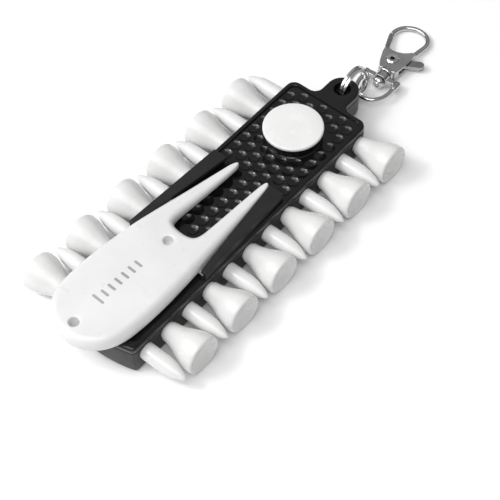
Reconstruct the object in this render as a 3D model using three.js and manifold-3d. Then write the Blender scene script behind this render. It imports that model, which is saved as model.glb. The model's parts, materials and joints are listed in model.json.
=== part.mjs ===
// Golf tool holder: a flat black holder that grips twelve golf tees, carries a divot repair tool and a ball
// marker on its face, and hangs from a split ring and a swivel snap clasp.
// Millimetres. X runs across the holder, Y from its handle end to its tab, Z up from what it lies on.
import * as THREE from "three";
import { mergeVertices } from "three/addons/utils/BufferGeometryUtils.js";
import Module from "manifold-3d";

const wasm = await Module();
wasm.setup();

// ---- holder ----
const HOLDER_WIDTH = 29.6;
const HOLDER_LENGTH = 104.3;
const HOLDER_DEPTH = 11.1;
const HOLDER_CORNER = 3;
const END_BOW = 2.7;
const END_BOW_RADIUS = 46;
const END_CORNER = 1.5;
const PLATE_THICKNESS = 2.1;
const EDGE_BEVEL = 0.5;
const RIM_WIDTH = 1.5;
const PANEL_DEPTH = 0.6;

// ---- tab with the ring hole ----
const TAB_RADIUS = 5.3;
const TAB_FILLET = 2.6;
const TAB_HOLE_RADIUS = 2.6;
const TAB_HOLE_Y = HOLDER_LENGTH + 6.1;
const TAB_DEPTH = 8.6;

// ---- dimpled panel ----
const DIMPLE_RADIUS = 1.9;
const DIMPLE_DEPTH = 0.5;
const DIMPLE_PITCH_Y = 4.25;
const DIMPLE_PITCH_X = 3.72;
const DIMPLE_SIDES = 8;
const DIMPLE_FIRST_Y = 40.7;

// ---- guides that hold the divot tool ----
const GUIDE_START_Y = 29.7;
const GUIDE_END_Y = 65.4;
const GUIDE_HEIGHT = 2.83;
const GUIDE_OUTER_START = 14.7;
const GUIDE_OUTER_END = 13.3;
const GUIDE_INNER_START = 12.8;
const GUIDE_INNER_END = 8.3;
const GUIDE_LIP_REACH = 0.8;
const GUIDE_LIP_Z = 1.65;

// ---- divot tool: it sits a little askew in the guides ----
const TOOL_BOTTOM = 0.15;
const TOOL_THICKNESS = 5.45;
const TOOL_UPPER_ROUND = 2.6;
const TOOL_LOWER_ROUND = 2.0;
const TOOL_TURN = -1.8;
const TOOL_PIVOT_Y = 35;
const TOOL_HOLE_RADIUS = 1.5;
const TOOL_CORD_HOLE_Y = -5.8;
const TOOL_BLIND_HOLE_Y = 30.8;
const TOOL_BLIND_FLOOR = 1.9;
const FLANGE_THICKNESS = 1.2;
const FLANGE_START_Y = 30;
const FLANGE_END_Y = 44;
const FLANGE_WIDTH = 3.7;
// points on the smooth outline of its right half: the handle and the prong's outer edge
const TOOL_OUTER = [
  [0, -10.4], [5.4, -9.4], [10.2, -5.6], [12.8, 0], [13.55, 7], [13.5, 15], [12.95, 23], [12.2, 30.5],
  [11.2, 38], [9.45, 50], [7.95, 60], [7.1, 64.6],
];
// the same round the prong's tip and back to the middle of the fork
const TOOL_INNER = [
  [5.95, 66.4], [4.95, 64.6], [4.75, 56], [4.85, 45], [4.8, 39.4], [4.1, 37.1], [2.4, 36.2], [0, 36.0],
];
// [y, share of the full thickness] along the tool
const TOOL_TAPER = [[-11, 1], [16, 1], [28, 0.94], [38, 0.78], [46, 0.63], [54, 0.5], [62, 0.39], [67, 0.33]];
// [y, width of the rounded edge] along the tool
const TOOL_EDGE = [[-11, 2.4], [24, 2.4], [40, 1.9], [50, 1.6], [58, 1.1], [63, 0.7], [65, 0.5], [67, 0.3]];

// ---- ball marker ----
const MARKER_Y = 86.3;
const MARKER_RADIUS = 9.3;
const MARKER_TOP = 4.2;
const MARKER_THICKNESS = 1.3;
const BOSS_RADIUS = 8.5;
const BOSS_TOP = 2.6;
const PEG_RADIUS = 2;
const PEG_BOTTOM = -0.4;

// ---- tees ----
const TEE_COUNT = 12;
const TEE_FIRST_Y = 4.4;
const TEE_PITCH = 8.66;
const TEE_Z = -5.58;
const TEE_SIDES = 20;
const TEE_SHAFT_RADIUS = 2.65;
const TEE_HOLE_RADIUS = 2.75;
const TEE_TIP_OUT = 14.4;
// [distance from the point, radius]
const TEE_POINT = [[0, 0.3], [0.5, 0.75], [1.6, 1.3], [3.2, 1.85], [5.0, 2.35], [7.0, TEE_SHAFT_RADIUS]];
// [distance out from the holder's wall, radius]
const TEE_HEAD = [
  [0.3, TEE_SHAFT_RADIUS], [0.6, 3.05], [3.0, 3.4], [5.4, 4.15], [7.6, 5.05], [9.6, 5.75], [11.3, 6.1],
  [12.8, 6.1], [13.4, 5.75], [13.5, 5.3], [13.0, 4.6], [12.4, 2.6],
];
const TEE_CUP_OUT = 12.2;

// ---- split ring ----
const RING_RADIUS = 6.5;
const RING_Y = TAB_HOLE_Y + 6.0;
const RING_Z = -4.5;
const RING_WIRE_RADIAL = 0.6;
const RING_WIRE_AXIAL = 0.54;
const RING_PITCH = 1.2;
const RING_TURNS = 1.94;

// ---- swivel snap clasp, in its own frame: y along the clasp from the swivel bar to the hook ----
const CLASP_POSITION = [1.6, 128.0, -8.6];
const CLASP_YAW = 6;
const CLASP_PITCH = -4.4;
const SWIVEL_X = 0.8;
const LOOP_HALF_WIDTH = 6.3;
const LOOP_DEPTH = 10.8;
const LOOP_WIRE_RADIUS = 0.75;
const BAR_HALF_LENGTH = 6.2;
const BAR_HALF_WIDTH = 1.0;
const BAR_HALF_HEIGHT = 0.9;
const SWIVEL_BOSS_RADIUS = 2.5;
const SWIVEL_BOSS_HALF = 1.3;
const STEM_RADIUS = 1.15;
const STEM_HOLE_RADIUS = 1.25;
const STEM_HEAD_RADIUS = 2.0;
const STEM_END_Y = 4.2;
const COLLAR_RADIUS = 2.75;
const COLLAR_START_Y = 1.6;
const COLLAR_END_Y = 2.9;
const BODY_HALF_THICKNESS = 1.6;
const SLOT_HALF_THICKNESS = 0.8;
const RIVET_X = -0.3;
const RIVET_Y = 8.7;
const RIVET_SHANK_RADIUS = 1.15;
const RIVET_HOLE_RADIUS = 1.25;
const RIVET_FLANGE_RADIUS = 2.1;
const RIVET_FLANGE_THICKNESS = 0.4;
const RIVET_BORE_RADIUS = 0.7;
const HOOK_WIRE_RADIUS = 0.85;
const GATE_HALF_THICKNESS = 0.6;
const BODY_OUTLINE = [
  [-2.2, 3.2], [3.8, 3.2], [4.4, 6.0], [4.8, 9.0], [5.0, 12.0], [4.8, 14.7], [3.5, 15.0], [2.6, 14.1],
  [1.3, 13.1], [-0.3, 12.5], [-2.2, 12.3], [-4.1, 12.6], [-5.3, 12.7], [-4.9, 10.2], [-3.7, 6.6],
];
// centre line of the hook's wire, from the body round to the hook's tip
const HOOK_LINE = [
  [3.95, 13.4], [4.15, 16.0], [4.7, 19.0], [5.05, 21.3], [4.7, 23.3], [3.4, 25.2], [1.3, 26.4], [-1.3, 26.8],
  [-3.7, 26.1], [-5.6, 24.7], [-6.7, 22.8], [-7.0, 21.2], [-7.0, 20.1],
];
const GATE_OUTLINE = [
  [-7.45, 19.6], [-6.5, 19.7], [-5.4, 16.0], [-4.4, 13.4], [-2.9, 11.4], [-1.2, 10.6], [1.4, 10.4],
  [4.0, 11.6], [7.6, 13.4], [8.7, 13.2], [9.2, 12.3], [8.9, 11.3], [8.1, 10.8], [4.6, 9.2],
  [1.6, 7.1], [0.4, 6.7], [-1.2, 6.8], [-2.4, 8.0], [-3.6, 10.2], [-5.3, 12.9], [-6.3, 15.7],
];

// ---- helpers ----
const v2 = (x, y) => new THREE.Vector2(x, y);
const v3 = (x, y, z) => new THREE.Vector3(x, y, z);

// A closed three.js geometry as a solid, turned to face outwards.
function solid(geometry) {
  const loose = geometry.index ? geometry.toNonIndexed() : geometry.clone();
  loose.deleteAttribute("normal");
  loose.deleteAttribute("uv");
  const merged = mergeVertices(loose, 1e-4);
  const positions = new Float32Array(merged.attributes.position.array);
  const faces = new Uint32Array(merged.index.array);
  const kept = [];
  let volume = 0;
  const corner = [v3(0, 0, 0), v3(0, 0, 0), v3(0, 0, 0)];
  for (let i = 0; i < faces.length; i += 3) {
    const [a, b, c] = [faces[i], faces[i + 1], faces[i + 2]];
    if (a === b || b === c || a === c) continue;
    kept.push(a, b, c);
    [a, b, c].forEach((index, k) => corner[k].fromArray(positions, index * 3));
    volume += corner[0].dot(corner[1].clone().cross(corner[2]));
  }
  if (volume < 0) {
    for (let i = 0; i < kept.length; i += 3) {
      [kept[i + 1], kept[i + 2]] = [kept[i + 2], kept[i + 1]];
    }
  }
  return new wasm.Manifold(
    new wasm.Mesh({
      numProp: 3,
      vertProperties: positions,
      triVerts: new Uint32Array(kept),
    }),
  );
}

function geometryOf(body) {
  const mesh = body.getMesh();
  const positions = new Float32Array(mesh.numVert * 3);
  for (let i = 0; i < mesh.numVert; i++) {
    const start = i * mesh.numProp;
    positions.set(mesh.vertProperties.subarray(start, start + 3), i * 3);
  }
  const geometry = new THREE.BufferGeometry();
  geometry.setAttribute("position", new THREE.BufferAttribute(positions, 3));
  geometry.setIndex(new THREE.BufferAttribute(new Uint32Array(mesh.triVerts), 1));
  geometry.computeVertexNormals();
  return geometry;
}

// A shape raised from low to high, with its upper and lower edges bevelled inside its outline.
function raised(shape, low, high, bevel = 0, curveSegments = 10, bevelSegments = 2) {
  const geometry = new THREE.ExtrudeGeometry(shape, {
    depth: high - low - 2 * bevel,
    bevelEnabled: bevel > 0,
    bevelThickness: bevel,
    bevelSize: bevel,
    bevelOffset: -bevel,
    bevelSegments,
    curveSegments,
  });
  geometry.translate(0, 0, low + bevel);
  return geometry;
}

// A closed profile of [radius, height] turned about Z.
function turned(profile, sides) {
  const points = profile.map(([radius, height]) => v2(radius, height));
  const geometry = new THREE.LatheGeometry(points, sides);
  geometry.rotateX(Math.PI / 2);
  return geometry;
}

function cylinder(radius, low, high, sides, x = 0, y = 0) {
  const geometry = turned([[0, low], [radius, low], [radius, high], [0, high]], sides);
  geometry.translate(x, y, 0);
  return geometry;
}

// A cylinder along Y.
function cylinderY(radius, low, high, sides, x = 0, z = 0) {
  const geometry = cylinder(radius, low, high, sides);
  geometry.rotateX(-Math.PI / 2);
  geometry.translate(x, 0, z);
  return geometry;
}

function box(low, high) {
  const geometry = new THREE.BoxGeometry(high[0] - low[0], high[1] - low[1], high[2] - low[2]);
  geometry.translate((low[0] + high[0]) / 2, (low[1] + high[1]) / 2, (low[2] + high[2]) / 2);
  return geometry;
}

// The triangles between neighbouring rings that each hold the same number of points.
function sideFaces(rings) {
  const sides = rings[0].length;
  const faces = [];
  for (let i = 0; i + 1 < rings.length; i++) {
    for (let j = 0; j < sides; j++) {
      const a = i * sides + j;
      const b = i * sides + ((j + 1) % sides);
      faces.push(a, b, a + sides, b, b + sides, a + sides);
    }
  }
  return faces;
}

function meshed(points, faces) {
  const geometry = new THREE.BufferGeometry();
  const positions = points.flatMap((point) => point.toArray());
  geometry.setAttribute("position", new THREE.Float32BufferAttribute(positions, 3));
  geometry.setIndex(faces);
  return geometry;
}

// A solid skinned over a row of round rings, with both ends closed.
function skinned(rings) {
  const sides = rings[0].length;
  const points = rings.flat();
  const faces = sideFaces(rings);
  for (const [index, flip] of [[0, true], [rings.length - 1, false]]) {
    const middle = v3(0, 0, 0);
    rings[index].forEach((point) => middle.add(point));
    points.push(middle.divideScalar(sides));
    for (let j = 0; j < sides; j++) {
      const a = index * sides + j;
      const b = index * sides + ((j + 1) % sides);
      faces.push(points.length - 1, flip ? b : a, flip ? a : b);
    }
  }
  return meshed(points, faces);
}

// A solid stacked from layers of any outline, each above the last, with flat ends.
function stacked(layers) {
  const faces = sideFaces(layers);
  for (const [index, flip] of [[0, true], [layers.length - 1, false]]) {
    const start = index * layers[0].length;
    const outline = layers[index].map((point) => v2(point.x, point.y));
    for (const [a, b, c] of THREE.ShapeUtils.triangulateShape(outline, [])) {
      faces.push(start + a, start + (flip ? c : b), start + (flip ? b : c));
    }
  }
  return meshed(layers.flat(), faces);
}

// A round wire that follows a line lying in the XY plane.
function wire(line, radius, sides, steps) {
  const curve = new THREE.CatmullRomCurve3(line.map(([x, y]) => v3(x, y, 0)), false, "centripetal");
  const rings = [];
  for (let i = 0; i <= steps; i++) {
    const centre = curve.getPointAt(i / steps);
    const along = curve.getTangentAt(i / steps);
    const side = v3(-along.y, along.x, 0);
    const ring = [];
    for (let j = 0; j < sides; j++) {
      const angle = (2 * Math.PI * j) / sides;
      const point = centre.clone().addScaledVector(side, radius * Math.cos(angle));
      point.z += radius * Math.sin(angle);
      ring.push(point);
    }
    rings.push(ring);
  }
  return skinned(rings);
}

function plotted(points) {
  return new THREE.Shape(points.map(([x, y]) => v2(x, y)));
}

function between(table, at) {
  for (let i = 1; i < table.length; i++) {
    const [y0, value0] = table[i - 1];
    const [y1, value1] = table[i];
    if (at <= y1) return value0 + ((at - y0) / (y1 - y0)) * (value1 - value0);
  }
  return table[table.length - 1][1];
}

// ---- outlines ----
// The holder seen from above: square at its tab end, and gently bowed beyond y = 0 at its handle end.
function holderShape() {
  const side = HOLDER_WIDTH / 2;
  const farX = side - HOLDER_CORNER;
  const farY = HOLDER_LENGTH - HOLDER_CORNER;
  const bowY = END_BOW_RADIUS - END_BOW;
  const cornerX = side - END_CORNER;
  const cornerY = bowY - Math.sqrt((END_BOW_RADIUS - END_CORNER) ** 2 - cornerX ** 2);
  const turn = Math.atan2(cornerY - bowY, cornerX);
  const shape = new THREE.Shape();
  shape.absarc(0, bowY, END_BOW_RADIUS, -Math.PI - turn, turn, false);
  shape.absarc(cornerX, cornerY, END_CORNER, turn, 0, false);
  shape.absarc(farX, farY, HOLDER_CORNER, 0, Math.PI / 2, false);
  shape.absarc(-farX, farY, HOLDER_CORNER, Math.PI / 2, Math.PI, false);
  shape.absarc(-cornerX, cornerY, END_CORNER, Math.PI, Math.PI - turn, false);
  return shape;
}

function roundedRectangle(left, right, low, high, radius) {
  const shape = new THREE.Shape();
  shape.absarc(right - radius, low + radius, radius, -Math.PI / 2, 0, false);
  shape.absarc(right - radius, high - radius, radius, 0, Math.PI / 2, false);
  shape.absarc(left + radius, high - radius, radius, Math.PI / 2, Math.PI, false);
  shape.absarc(left + radius, low + radius, radius, Math.PI, 1.5 * Math.PI, false);
  return shape;
}

function tabOutline() {
  const base = HOLDER_LENGTH - 4;
  const shape = new THREE.Shape();
  shape.moveTo(-TAB_RADIUS - TAB_FILLET, base);
  shape.lineTo(TAB_RADIUS + TAB_FILLET, base);
  shape.lineTo(TAB_RADIUS + TAB_FILLET, HOLDER_LENGTH);
  const filletY = HOLDER_LENGTH + TAB_FILLET;
  shape.absarc(TAB_RADIUS + TAB_FILLET, filletY, TAB_FILLET, 1.5 * Math.PI, Math.PI, true);
  shape.absarc(0, TAB_HOLE_Y, TAB_RADIUS, 0, Math.PI, false);
  shape.absarc(-TAB_RADIUS - TAB_FILLET, filletY, TAB_FILLET, 0, -Math.PI / 2, true);
  return shape;
}

// The face of a guide on one side: side is 1 for +X and -1 for -X; shift moves its inner edge outwards.
function guideOutline(side, shift = 0, margin = 0) {
  const points = [
    [GUIDE_INNER_START + shift - margin, GUIDE_START_Y - margin],
    [GUIDE_OUTER_START + margin, GUIDE_START_Y - margin],
    [GUIDE_OUTER_END + margin, GUIDE_END_Y + margin],
    [GUIDE_INNER_END + shift - margin, GUIDE_END_Y + margin],
  ];
  return plotted(points.map(([x, y]) => [side * x, y]));
}

function channelWall(y) {
  const share = (y - GUIDE_START_Y) / (GUIDE_END_Y - GUIDE_START_Y);
  return GUIDE_INNER_START + share * (GUIDE_INNER_END - GUIDE_INNER_START) + GUIDE_LIP_REACH;
}

// ---- materials ----
const plastic = (color, roughness) => new THREE.MeshStandardMaterial({ color, roughness, metalness: 0 });
const metal = (color, roughness) => new THREE.MeshStandardMaterial({ color, roughness, metalness: 1 });

const root = new THREE.Group();
root.name = "golf_tool_holder";

function place(parent, name, body, material) {
  const mesh = new THREE.Mesh(geometryOf(body), material);
  mesh.name = name;
  parent.add(mesh);
}

// ---- tee block: the lower body, bored across for the tees ----
const halfWidth = HOLDER_WIDTH / 2;
const holderOutline = holderShape();
let block = solid(raised(holderOutline, -HOLDER_DEPTH, -PLATE_THICKNESS, EDGE_BEVEL, 6));
const blockTab = solid(raised(tabOutline(), -TAB_DEPTH, -PLATE_THICKNESS, EDGE_BEVEL, 10));
block = block.add(blockTab);
const tabHole = solid(cylinder(TAB_HOLE_RADIUS, -TAB_DEPTH - 1, 1, 32, 0, TAB_HOLE_Y));
block = block.subtract(tabHole);
for (let i = 0; i < TEE_COUNT; i++) {
  const bore = cylinder(TEE_HOLE_RADIUS, -halfWidth - 1, halfWidth + 1, TEE_SIDES);
  bore.rotateY(Math.PI / 2);
  bore.translate(0, TEE_FIRST_Y + i * TEE_PITCH, TEE_Z);
  block = block.subtract(solid(bore));
}
place(root, "tee_block", block, plastic(0x232324, 0.5));

// ---- top plate: the upper half with the tab's top, the dimpled panel and the marker's boss ----
let plate = solid(raised(holderOutline, -PLATE_THICKNESS, 0, EDGE_BEVEL, 6));
plate = plate.add(solid(raised(tabOutline(), -PLATE_THICKNESS, 0, EDGE_BEVEL, 10)));
plate = plate.subtract(tabHole);
const panelOutline = roundedRectangle(
  -halfWidth + RIM_WIDTH,
  halfWidth - RIM_WIDTH,
  RIM_WIDTH,
  HOLDER_LENGTH - RIM_WIDTH,
  HOLDER_CORNER - RIM_WIDTH + 0.5,
);
let recess = solid(raised(panelOutline, -PANEL_DEPTH, 1, 0, 4));
for (const side of [1, -1]) {
  recess = recess.subtract(solid(raised(guideOutline(side, 0, 0.2), -2, 2)));
}
plate = plate.subtract(recess);
const dimpleProfile = [[0, -DIMPLE_DEPTH]];
for (const share of [0.5, 0.8, 1]) {
  dimpleProfile.push([share * DIMPLE_RADIUS, -DIMPLE_DEPTH * (1 - share * share)]);
}
dimpleProfile.push([DIMPLE_RADIUS, 0.5], [0, 0.5]);
const panelEdge = halfWidth - RIM_WIDTH - DIMPLE_RADIUS + 0.35;
const dimples = [];
for (let column = -3; column <= 3; column++) {
  const x = column * DIMPLE_PITCH_X;
  const offset = column % 2 === 0 ? 0 : DIMPLE_PITCH_Y / 2;
  for (let row = 0; row < 16; row++) {
    const y = DIMPLE_FIRST_Y + offset + row * DIMPLE_PITCH_Y;
    const nearMarker = Math.hypot(x, y - MARKER_Y) < BOSS_RADIUS + DIMPLE_RADIUS - 0.6;
    const guideEdge = channelWall(y) - GUIDE_LIP_REACH - DIMPLE_RADIUS - 0.3;
    const underGuide = y < GUIDE_END_Y + DIMPLE_RADIUS + 0.3 && Math.abs(x) > guideEdge;
    const beyondPanel = y > HOLDER_LENGTH - RIM_WIDTH - DIMPLE_RADIUS + 0.2;
    if (nearMarker || underGuide || beyondPanel || Math.abs(x) > panelEdge) continue;
    const dimple = turned(dimpleProfile, DIMPLE_SIDES);
    dimple.translate(x, y, -PANEL_DEPTH);
    dimples.push(solid(dimple));
  }
}
for (const dimple of dimples) {
  plate = plate.subtract(dimple);
}
plate = plate.add(solid(cylinder(BOSS_RADIUS, -1.5, BOSS_TOP, 40, 0, MARKER_Y)));
const pegHole = cylinder(PEG_RADIUS + 0.1, PEG_BOTTOM - 0.4, BOSS_TOP + 1, 24, 0, MARKER_Y);
plate = plate.subtract(solid(pegHole));
place(root, "top_plate", plate, plastic(0x161617, 0.28));

// ---- guides ----
for (const [name, side] of [["guide_left", -1], ["guide_right", 1]]) {
  const wall = solid(raised(guideOutline(side, GUIDE_LIP_REACH), 0, GUIDE_HEIGHT));
  const lip = solid(raised(guideOutline(side), GUIDE_LIP_Z, GUIDE_HEIGHT, 0.2));
  place(root, name, wall.add(lip), plastic(0x2a2a2c, 0.55));
}

// ---- divot tool: a pebble-edged body and two strips that run under the guides' lips ----
const toolRight = [...TOOL_OUTER, ...TOOL_INNER];
const toolLeft = toolRight.slice(1, -1).map(([x, y]) => [-x, y]).reverse();
const toolPoints = [...toolRight, ...toolLeft].map(([x, y]) => v3(x, y, 0));
const toolCurve = new THREE.CatmullRomCurve3(toolPoints, true, "catmullrom", 0.5);
const toolOutline = toolCurve.getPoints(3 * toolPoints.length).slice(0, -1);

// The tool's outline moved inwards by a share of its edge's width, at a height that tapers along the tool.
function toolLayer(share, height) {
  return toolOutline.map((point, i) => {
    const ahead = toolOutline[(i + 1) % toolOutline.length];
    const behind = toolOutline.at(i - 1);
    const inward = v3(behind.y - ahead.y, ahead.x - behind.x, 0).normalize();
    const moved = point.clone().addScaledVector(inward, share * between(TOOL_EDGE, point.y));
    moved.z = TOOL_BOTTOM + height * between(TOOL_TAPER, point.y);
    return moved;
  });
}
const quarter = [0, 1, 2, 3].map((step) => (step / 3) * (Math.PI / 2));
const lowerLayers = quarter.map((angle) =>
  toolLayer(0.8 * (1 - Math.sin(angle)), TOOL_LOWER_ROUND * (1 - Math.cos(angle))),
);
const upperLayers = quarter.map((angle) =>
  toolLayer(1 - Math.cos(angle), TOOL_THICKNESS - TOOL_UPPER_ROUND * (1 - Math.sin(angle))),
);
let tool = solid(stacked([...lowerLayers, ...upperLayers]));
tool = tool.subtract(solid(cylinder(TOOL_HOLE_RADIUS, -1, 7, 20, 0, TOOL_CORD_HOLE_Y)));
tool = tool.subtract(solid(cylinder(TOOL_HOLE_RADIUS, TOOL_BLIND_FLOOR, 7, 20, 0, TOOL_BLIND_HOLE_Y)));
tool = tool.translate([0, -TOOL_PIVOT_Y, 0]).rotate([0, 0, TOOL_TURN]).translate([0, TOOL_PIVOT_Y, 0]);
for (const side of [-1, 1]) {
  const startX = channelWall(FLANGE_START_Y) - 0.3;
  const endX = channelWall(FLANGE_END_Y) - 0.3;
  const strip = plotted([
    [side * startX, FLANGE_START_Y], [side * endX, FLANGE_END_Y],
    [side * (endX - FLANGE_WIDTH), FLANGE_END_Y], [side * (startX - FLANGE_WIDTH), FLANGE_START_Y],
  ]);
  tool = tool.add(solid(raised(strip, TOOL_BOTTOM, TOOL_BOTTOM + FLANGE_THICKNESS)));
}
place(root, "divot_tool", tool, plastic(0xececea, 0.3));

// ---- ball marker ----
const markerLow = MARKER_TOP - MARKER_THICKNESS;
const marker = turned(
  [
    [0, PEG_BOTTOM], [PEG_RADIUS - 0.3, PEG_BOTTOM], [PEG_RADIUS, PEG_BOTTOM + 0.3], [PEG_RADIUS, markerLow],
    [MARKER_RADIUS - 0.4, markerLow], [MARKER_RADIUS - 0.1, markerLow + 0.2],
    [MARKER_RADIUS, markerLow + 0.5], [MARKER_RADIUS, MARKER_TOP - 0.5],
    [MARKER_RADIUS - 0.15, MARKER_TOP - 0.2], [MARKER_RADIUS - 0.5, MARKER_TOP], [0, MARKER_TOP],
  ],
  48,
);
marker.translate(0, MARKER_Y, 0);
place(root, "ball_marker", solid(marker), plastic(0xf0f0ee, 0.25));

// ---- tees: each lies across the holder, and their heads take turns on the two sides ----
const teeProfile = [[0, -halfWidth - TEE_TIP_OUT]];
for (const [out, radius] of TEE_POINT) {
  teeProfile.push([radius, -halfWidth - TEE_TIP_OUT + out]);
}
for (const [out, radius] of TEE_HEAD) {
  teeProfile.push([radius, halfWidth + out]);
}
teeProfile.push([0, halfWidth + TEE_CUP_OUT]);
for (let i = 0; i < TEE_COUNT; i++) {
  const tee = turned(teeProfile, TEE_SIDES);
  tee.rotateY(i % 2 === 0 ? -Math.PI / 2 : Math.PI / 2);
  tee.translate(0, TEE_FIRST_Y + i * TEE_PITCH, TEE_Z);
  const name = "tee_" + String(i + 1).padStart(2, "0");
  place(root, name, solid(tee), plastic(0xe9e9e7, 0.3));
}

// ---- split ring: one flat wire coiled almost twice, standing upright through the tab's hole ----
const ringSteps = 76;
const ringSection = [[-0.6, -1], [0.6, -1], [1, -0.5], [1, 0.5], [0.6, 1], [-0.6, 1], [-1, 0.5], [-1, -0.5]];
const ringRings = [];
for (let i = 0; i <= ringSteps; i++) {
  const turn = (i / ringSteps) * RING_TURNS;
  const angle = 2 * Math.PI * turn + 0.4;
  const x = (turn - RING_TURNS / 2) * RING_PITCH;
  const ring = ringSection.map(([radial, axial]) => {
    const radius = RING_RADIUS + radial * RING_WIRE_RADIAL;
    const across = x + axial * RING_WIRE_AXIAL;
    return v3(across, RING_Y + radius * Math.cos(angle), RING_Z + radius * Math.sin(angle));
  });
  ringRings.push(ring);
}
place(root, "split_ring", solid(skinned(ringRings)), metal(0xc9cacc, 0.15));

// ---- swivel snap clasp ----
const clasp = new THREE.Group();
clasp.position.set(...CLASP_POSITION);
clasp.rotation.set(THREE.MathUtils.degToRad(CLASP_PITCH), 0, THREE.MathUtils.degToRad(CLASP_YAW), "ZXY");
root.add(clasp);

// swivel loop: a straight bar with a bored boss, and a wire bow that hangs in the split ring
const bowLine = [
  [-1, 0.2], [-1.0, -2.5], [-0.98, -5.0], [-0.84, -7.6], [-0.5, -9.9], [0, -LOOP_DEPTH],
  [0.5, -9.9], [0.84, -7.6], [0.98, -5.0], [1.0, -2.5], [1, 0.2],
].map(([share, y]) => [SWIVEL_X + share * (LOOP_HALF_WIDTH - LOOP_WIRE_RADIUS), y]);
let loop = solid(wire(bowLine, LOOP_WIRE_RADIUS, 10, 32));
const barLow = [SWIVEL_X - BAR_HALF_LENGTH, -BAR_HALF_WIDTH, -BAR_HALF_HEIGHT];
const barHigh = [SWIVEL_X + BAR_HALF_LENGTH, BAR_HALF_WIDTH, BAR_HALF_HEIGHT];
loop = loop.add(solid(box(barLow, barHigh)));
for (const side of [-1, 1]) {
  const x = SWIVEL_X + side * (LOOP_HALF_WIDTH - LOOP_WIRE_RADIUS);
  const ear = solid(cylinderY(1.15, -2.4, BAR_HALF_WIDTH, 14, x));
  loop = loop.add(ear);
}
loop = loop.add(solid(cylinderY(SWIVEL_BOSS_RADIUS, -SWIVEL_BOSS_HALF, SWIVEL_BOSS_HALF, 24, SWIVEL_X)));
loop = loop.subtract(solid(cylinderY(STEM_HOLE_RADIUS, -4, 4, 24, SWIVEL_X)));
place(clasp, "swivel_loop", loop, metal(0xc4c5c8, 0.18));

// swivel stem: headed pin through the boss into the hook
const stem = turned(
  [
    [0, -3.3], [1.1, -3.2], [1.75, -2.7], [STEM_HEAD_RADIUS, -2.1], [STEM_HEAD_RADIUS, -1.6],
    [STEM_RADIUS, -1.6], [STEM_RADIUS, STEM_END_Y], [0, STEM_END_Y],
  ],
  24,
);
stem.rotateX(-Math.PI / 2);
stem.translate(SWIVEL_X, 0, 0);
place(clasp, "swivel_stem", solid(stem), metal(0xb9babd, 0.2));

// hook body: collar, slotted cheeks and the hook's wire
const bodyPlate = raised(plotted(BODY_OUTLINE), -BODY_HALF_THICKNESS, BODY_HALF_THICKNESS, 0.25);
let hook = solid(bodyPlate);
const collar = turned(
  [
    [0, COLLAR_START_Y], [COLLAR_RADIUS - 0.3, COLLAR_START_Y], [COLLAR_RADIUS, COLLAR_START_Y + 0.3],
    [COLLAR_RADIUS, COLLAR_END_Y - 0.3], [COLLAR_RADIUS - 0.5, COLLAR_END_Y + 0.1],
    [1.9, COLLAR_END_Y + 1.1], [0, COLLAR_END_Y + 1.1],
  ],
  28,
);
collar.rotateX(-Math.PI / 2);
collar.translate(SWIVEL_X, 0, 0);
hook = hook.add(solid(collar));
let slot = solid(box([-9, 5.3, -SLOT_HALF_THICKNESS], [9, 17, SLOT_HALF_THICKNESS]));
slot = slot.subtract(solid(box([2.6, 12.9, -2], [10, 18, 2])));
hook = hook.subtract(slot);
hook = hook.add(solid(wire(HOOK_LINE, HOOK_WIRE_RADIUS, 10, 40)));
hook = hook.subtract(solid(cylinder(RIVET_HOLE_RADIUS, -3, 3, 24, RIVET_X, RIVET_Y)));
hook = hook.subtract(solid(cylinderY(STEM_HOLE_RADIUS, 1, STEM_END_Y + 0.3, 24, SWIVEL_X)));
place(clasp, "hook_body", hook, metal(0xb4b5b8, 0.22));

// gate with its thumb lever, turning on the rivet
let gate = solid(raised(plotted(GATE_OUTLINE), -GATE_HALF_THICKNESS, GATE_HALF_THICKNESS));
gate = gate.subtract(solid(cylinder(RIVET_HOLE_RADIUS, -3, 3, 24, RIVET_X, RIVET_Y)));
place(clasp, "gate_lever", gate, metal(0x8f9094, 0.3));

// hollow rivet
const flangeIn = BODY_HALF_THICKNESS + 0.05;
const flangeOut = flangeIn + RIVET_FLANGE_THICKNESS;
const rivetProfile = [
  [RIVET_BORE_RADIUS, -flangeOut], [RIVET_FLANGE_RADIUS - 0.2, -flangeOut],
  [RIVET_FLANGE_RADIUS, -flangeOut + 0.2], [RIVET_FLANGE_RADIUS, -flangeIn],
  [RIVET_SHANK_RADIUS, -flangeIn], [RIVET_SHANK_RADIUS, flangeIn], [RIVET_FLANGE_RADIUS, flangeIn],
  [RIVET_FLANGE_RADIUS, flangeOut - 0.2], [RIVET_FLANGE_RADIUS - 0.2, flangeOut],
  [RIVET_BORE_RADIUS, flangeOut], [RIVET_BORE_RADIUS, -flangeOut],
];
const rivet = turned(rivetProfile, 24);
rivet.translate(RIVET_X, RIVET_Y, 0);
place(clasp, "gate_rivet", solid(rivet), metal(0xd0d1d3, 0.18));

// ---- origin at the bottom centre of the whole ----
const bounds = new THREE.Box3().setFromObject(root, true);
const middle = bounds.getCenter(v3(0, 0, 0));
root.position.set(-middle.x, -middle.y, -bounds.min.z);
root.updateMatrixWorld(true);

export default root;
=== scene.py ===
"""Looks for the golf tool holder: moulded plastic pieces and plated metal pieces built round the frame.

Sizes named here are millimetres in two local frames. The holder's has x across, y from its handle end, beyond
which that end bows, and z up from its rim. The clasp's has y along the swivel, x across the hook and z along
the gate's rivet.
"""

import json
import math

import bmesh
import bpy
from mathutils import Matrix, Vector
from mathutils.geometry import delaunay_2d_cdt


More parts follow.
